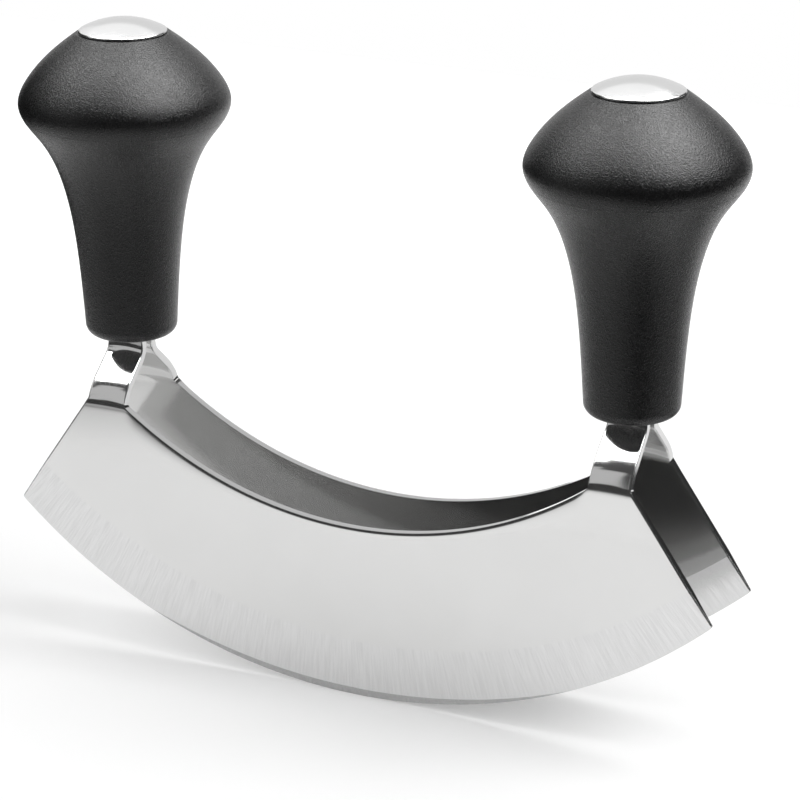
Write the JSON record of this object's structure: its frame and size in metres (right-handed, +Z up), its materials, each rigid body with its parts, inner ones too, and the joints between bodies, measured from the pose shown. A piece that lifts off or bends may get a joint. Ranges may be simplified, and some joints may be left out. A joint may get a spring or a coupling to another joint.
{
  "type": "mezzaluna",
  "caption": "Twin-blade mezzaluna herb chopper: curved ground steel blades joined at their bent tangs by upright black plastic palm knobs with domed steel caps.",
  "frame": {"origin": "under the middle of the knife, midway between the two blades, level with the lowest point of the cutting edges", "axes": "+X along the blades towards the right knob, +Y from the front blade to the rear blade, +Z up through the knobs"},
  "size_m": [0.1796, 0.0496, 0.1526],
  "materials": {
    "blade_steel": "mirror-polished stainless faces, finely ground bevels",
    "cap_steel": "polished domed stainless",
    "grip_plastic": "matt black with a fine spark-eroded grain",
    "core_plastic": "plain moulded black",
    "rod_steel": "turned and milled stainless",
    "fastener_steel": "plain stainless fasteners"
  },
  "bodies": {
    "root": {"front_blade": "blade_steel", "rear_blade": "blade_steel", "left_knob_grip": "grip_plastic", "left_knob_core": "core_plastic", "left_knob_cap": "cap_steel", "left_tie_rod": "rod_steel", "left_tang_rivets": "fastener_steel", "left_flat_washer": "fastener_steel", "left_spring_washer": "fastener_steel", "left_hex_nut": "fastener_steel", "right_knob_grip": "grip_plastic", "right_knob_core": "core_plastic", "right_knob_cap": "cap_steel", "right_tie_rod": "rod_steel", "right_tang_rivets": "fastener_steel", "right_flat_washer": "fastener_steel", "right_spring_washer": "fastener_steel", "right_hex_nut": "fastener_steel"}
  },
  "joints": []
}
